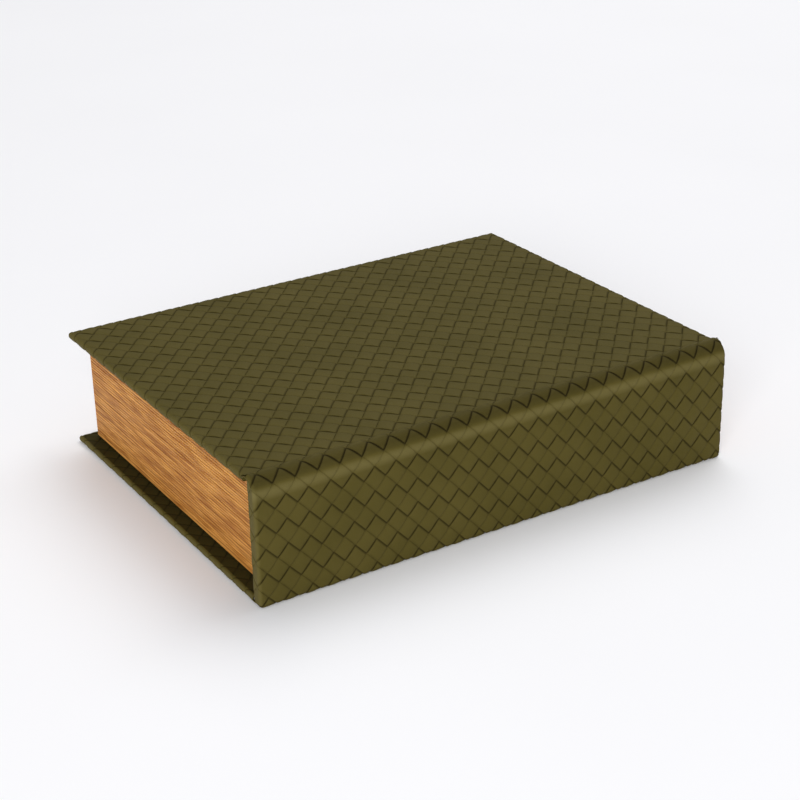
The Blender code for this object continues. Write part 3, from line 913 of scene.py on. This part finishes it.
# The tray's floor. A thin sheet of birch plywood is glued between the walls, and the pads
# cover it. Its veneer is pale, with fine streaks 25 mm long and 1.1 mm wide.
plywood, tree, shader = finish_of("birch plywood", Roughness=0.6)
place = add(tree, "ShaderNodeTexCoord").outputs["Object"]
stretched = add(tree, "ShaderNodeMapping", {
    "Vector": place, "Scale": (1 / (25 * MM), 1 / (1.111 * MM), 1 / (1.111 * MM)),
})
veneer = add(tree, "ShaderNodeTexNoise", {
    "Vector": stretched.outputs[0], "Scale": 1.0, "Detail": 4.0,
})
tone = add(tree, "ShaderNodeValToRGB", {"Fac": veneer.outputs["Fac"]})
tone.color_ramp.elements[0].color = linear("C9A877")
tone.color_ramp.elements[1].color = linear("E2C79B")
tree.links.new(tone.outputs["Color"], shader.inputs["Base Color"])
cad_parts["tray_floor"].material_slots[0].material = plywood

# The magnets. Nickel-plated discs are let into the lid's board and the fore-edge wall, two
# and two. Plated nickel is a warm bright grey, with faint clouds of handling wear.
nickel, tree, shader = finish_of("nickel plate", Metallic=1.0)
place = add(tree, "ShaderNodeTexCoord").outputs["Object"]
handled = add(tree, "ShaderNodeTexNoise", {
    "Vector": place, "Scale": 1 / (1.4286 * MM), "Detail": 3.0,
})
tone = add(tree, "ShaderNodeValToRGB", {"Fac": handled.outputs["Fac"]})
tone.color_ramp.elements[0].color = linear("B9B4A8")
tone.color_ramp.elements[1].color = linear("D2CEC4")
tree.links.new(tone.outputs["Color"], shader.inputs["Base Color"])
clouded = add(tree, "ShaderNodeMapRange", {
    "Value": handled.outputs["Fac"], "To Min": 0.18, "To Max": 0.4,
})
tree.links.new(clouded.outputs["Result"], shader.inputs["Roughness"])
for name in ("lid_magnet_left", "lid_magnet_right", "tray_magnet_left", "tray_magnet_right"):
    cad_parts[name].material_slots[0].material = nickel

# The suede of the inside: goat suede on thin card and foam, a soft sand colour, with a short
# nap that lies in lighter and darker patches where it has been brushed. The patches are about
# 18 mm across; the nap is drawn at 0.4 mm, coarser than it is, so that it shows.
suede, tree, shader = finish_of(
    "goat suede", Roughness=0.95, Specular_IOR_Level=0.1, Sheen_Weight=0.35, Sheen_Roughness=0.6,
)
place = add(tree, "ShaderNodeTexCoord").outputs["Object"]
brushed = add(tree, "ShaderNodeTexNoise", {
    "Vector": place, "Scale": 1 / (18.18 * MM), "Detail": 3.0, "Distortion": 0.6,
})
nap = add(tree, "ShaderNodeTexNoise", {
    "Vector": place, "Scale": 1 / (0.3846 * MM), "Detail": 3.0,
})
soft = add(tree, "ShaderNodeMix", {0: 0.4, 2: brushed.outputs["Fac"], 3: nap.outputs["Fac"]})
tone = add(tree, "ShaderNodeValToRGB", {"Fac": soft.outputs[0]})
tone.color_ramp.elements[0].position = 0.35
tone.color_ramp.elements[0].color = linear("8A7656")
tone.color_ramp.elements[1].position = 0.65
tone.color_ramp.elements[1].color = linear("A8926E")
tree.links.new(tone.outputs["Color"], shader.inputs["Base Color"])
pile = add(tree, "ShaderNodeBump", {
    "Strength": 0.5, "Distance": 0.1 * MM, "Height": nap.outputs["Fac"],
})
tree.links.new(pile.outputs["Normal"], shader.inputs["Normal"])


PANEL_STEP = 2.5 * MM           # spacing of a panel's points, but for 8 to 60 of them each way


def soft_panel(name, node, axis, way, crown, roll, body, fill):
    """A panel covered in suede: rolled edges, and a slight crown on the face that shows.

    axis is the panel's thin one, and way the side of it that shows, 1 or -1.
    """
    low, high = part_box(node)
    flat = [i for i in range(3) if i != axis]
    size = [high[i] - low[i] for i in flat]
    counts = [max(8, min(60, round(s / PANEL_STEP))) for s in size]
    back, front = (low[axis], high[axis]) if way > 0 else (high[axis], low[axis])
    thick = abs(front - back)

    def spread(count, length):
        """Places across the panel, closer together where it rolls over at both edges."""
        inner = np.linspace(roll, length - roll, count - 5)
        ease = [0, 0.08 * roll, 0.3 * roll, 0.62 * roll]
        return np.r_[ease, inner, [length - e for e in reversed(ease)]]

    shape = bmesh.new()
    grid = []
    us, vs = (spread(c, s) for c, s in zip(counts, size))
    for v in vs:
        row = []
        for u in us:
            near_u, near_v = min(u, size[0] - u), min(v, size[1] - v)
            fall = [max(0.0, 1 - n / roll) for n in (near_u, near_v)]
            over = min(1.0, math.hypot(*fall))
            drop = (1 - math.sqrt(1 - over ** 2)) * min(roll, thick * 0.85)
            dome = crown * (1 - (2 * u / size[0] - 1) ** 4) * (1 - (2 * v / size[1] - 1) ** 4)
            point = [0.0, 0.0, 0.0]
            point[flat[0]], point[flat[1]] = low[flat[0]] + u, low[flat[1]] + v
            point[axis] = front + way * (dome - crown - drop)
            row.append(shape.verts.new(point))
        grid.append(row)
    for low_row, high_row in zip(grid, grid[1:]):
        for i in range(len(us) - 1):
            shape.faces.new((low_row[i], low_row[i + 1], high_row[i + 1], high_row[i]))
    rim = [e for e in shape.edges if e.is_boundary]
    walls = bmesh.ops.extrude_edge_only(shape, edges=rim)["geom"]
    for item in walls:
        if isinstance(item, bmesh.types.BMVert):
            item.co[axis] = back
    open_edges = [i for i in walls if isinstance(i, bmesh.types.BMEdge) and i.is_boundary]
    bmesh.ops.contextual_create(shape, geom=open_edges)
    bmesh.ops.recalc_face_normals(shape, faces=shape.faces)
    mesh = mesh_from(shape, name)
    mesh.shade_smooth()
    mesh.set_sharp_from_angle(angle=math.radians(60))
    made = show(name, mesh, suede)
    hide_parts(node)
    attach(made, body)


# The well linings. Each well has a suede-covered card on three sides, glued to the walls, and
# a pad of thin foam at the bottom; the divider is its fourth side.
CARD = (0.05 * MM, 0.5 * MM)    # how far a card's face is crowned, and the radius of its edges
FOAM = (0.25 * MM, 1.4 * MM)    # and a foam pad's
for side, facing_in in (("left", 1), ("right", -1)):
    soft_panel("well_end_" + side, "liner_end_" + side, 0, facing_in, *CARD, "case", 1.0)
    soft_panel("well_spine_" + side, "liner_spine_" + side, 1, 1, *CARD, "case", 1.0)
    soft_panel("well_fore_" + side, "liner_fore_" + side, 1, -1, *CARD, "case", 1.0)
    soft_panel("well_pad_" + side, "floor_pad_" + side, 2, 1, *FOAM, "case", 0.8)

# The divider. A suede-covered board stands between the wells, with a half-round notch in its
# top edge for a finger. Its edges are rounded where the suede is pulled over them.
low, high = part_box("divider")
NOTCH = 12.0 * MM
NOTCH_STEPS = 32
outline = [(low.y, low.z), (high.y, low.z), (high.y, high.z)]
notch_y = (low.y + high.y) / 2
for i in range(NOTCH_STEPS + 1):
    angle = math.pi * i / NOTCH_STEPS
    outline.append((notch_y + NOTCH * math.cos(angle), high.z - NOTCH * math.sin(angle)))
outline.append((low.y, high.z))
shape = bmesh.new()
edge = [shape.verts.new((low.x, y, z)) for y, z in outline]
side = shape.faces.new(edge)
grown = bmesh.ops.extrude_face_region(shape, geom=[side])["geom"]
grown = [v for v in grown if isinstance(v, bmesh.types.BMVert)]
bmesh.ops.translate(shape, vec=(high.x - low.x, 0, 0), verts=grown)
bmesh.ops.recalc_face_normals(shape, faces=shape.faces)
sharp = [e for e in shape.edges if e.calc_face_angle(0) > math.radians(40)]
bmesh.ops.bevel(shape, geom=sharp, offset=0.9 * MM, segments=4, profile=0.5, affect="EDGES")
mesh = mesh_from(shape, "well_divider")
mesh.shade_smooth()
mesh.set_sharp_from_angle(angle=math.radians(50))
divider = show("well_divider", mesh, suede)
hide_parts("divider")
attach(divider, "case")

# The lid's lining. One suede-covered card is glued inside the lid, over the raw edges of the
# turned-in leather and over the magnets.
soft_panel("lid_lining_panel", "lid_lining", 2, -1, 0.04 * MM, 0.6 * MM, "lid", 0.9)

# The joint's lining. A strip of book cloth is glued up the back of the spine, across under
# the free leather and down over the lid's edge, so that no board shows when the lid is open.
low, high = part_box("hinge_lining")
CLOTH = 0.2 * MM                # the cloth's thickness
up_y, down_y = low.y + 0.15 * MM, lid_low.y - 0.4 * MM      # where it runs up, and down again
under_z = lid_low.z - 0.12 * MM                             # and its level under the lid
BEND = 0.45 * MM                # radius of its bend over the spine
TURN = 0.4 * MM                 # and of the turn down to the lid
bend_z, turn_z = high.z - 0.75 * MM, high.z - 1.4 * MM      # where those two start and end
cloth_line = [(up_y, low.z - 0.1 * MM), (up_y, high.z - 1.7 * MM), (up_y, bend_z)]
cloth_line += [
    (up_y + BEND * (1 - math.cos(a)), bend_z + BEND * math.sin(a))
    for a in np.radians((30, 60, 90))
]
cloth_line += [
    (down_y - TURN * (1 - math.sin(a)), turn_z + TURN * math.cos(a))
    for a in np.radians((10, 45, 90))
]
cloth_line += [
    (down_y, under_z + 0.3 * MM), (down_y + 0.1 * MM, under_z + 0.06 * MM),
    (down_y + 0.35 * MM, under_z), (high.y + 0.2 * MM, under_z),
]

# Starched book cloth: dark olive cotton, dull, with a plain weave of round threads. A thread is
# drawn 0.45 mm wide, coarser than it is, so that the weave shows.
THREAD = 0.45 * MM
book_cloth, tree, shader = finish_of(
    "starched book cloth", Roughness=0.85, Specular_IOR_Level=0.2, Sheen_Weight=0.15,
)
uv = add(tree, "ShaderNodeUVMap", uv_map="threads").outputs["UV"]
threads = []
for direction in ("X", "Y"):
    wave = add(tree, "ShaderNodeTexWave", {
        "Vector": uv, "Scale": math.pi / 20 / THREAD, "Distortion": 0.6, "Detail": 1.0,
    }, bands_direction=direction)
    threads.append(wave.outputs["Fac"])
cloth_weave = add(tree, "ShaderNodeMath", {0: threads[0], 1: threads[1]}, operation="MULTIPLY")
tone = add(tree, "ShaderNodeValToRGB", {"Fac": cloth_weave.outputs[0]})
tone.color_ramp.elements[0].color = linear("2E2913")
tone.color_ramp.elements[1].color = linear("4C4524")
tree.links.new(tone.outputs["Color"], shader.inputs["Base Color"])
raised = add(tree, "ShaderNodeBump", {
    "Strength": 0.4, "Distance": 0.05 * MM, "Height": cloth_weave.outputs[0],
})
tree.links.new(raised.outputs["Normal"], shader.inputs["Normal"])

# Its UV map is the cloth laid flat.
cloth_along = np.r_[0, np.cumsum(np.hypot(*np.diff(cloth_line, axis=0).T))]
shape = bmesh.new()
threads_uv = shape.loops.layers.uv.new("threads")
columns = np.linspace(low.x, high.x, 61)
rows = [[shape.verts.new((x, y, z)) for x in columns] for y, z in cloth_line]
for i in range(len(rows) - 1):
    for j in range(len(columns) - 1):
        face = shape.faces.new((rows[i][j], rows[i + 1][j], rows[i + 1][j + 1], rows[i][j + 1]))
        spots = ((j, i), (j, i + 1), (j + 1, i + 1), (j + 1, i))
        for loop, (a, b) in zip(face.loops, spots):
            loop[threads_uv].uv = (columns[a], cloth_along[b])
mesh = mesh_from(shape, "joint_lining")
mesh.shade_smooth()
joint_lining = show("joint_lining", mesh, book_cloth)
thicken = joint_lining.modifiers.new("cloth thickness", "SOLIDIFY")
thicken.thickness = CLOTH
thicken.offset = 0
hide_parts("hinge_lining")
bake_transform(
    joint_lining, "case", "lid",
    start=(0, up_y + 0.2 * MM, high.z), end=(0, down_y - 0.1 * MM, high.z),
)
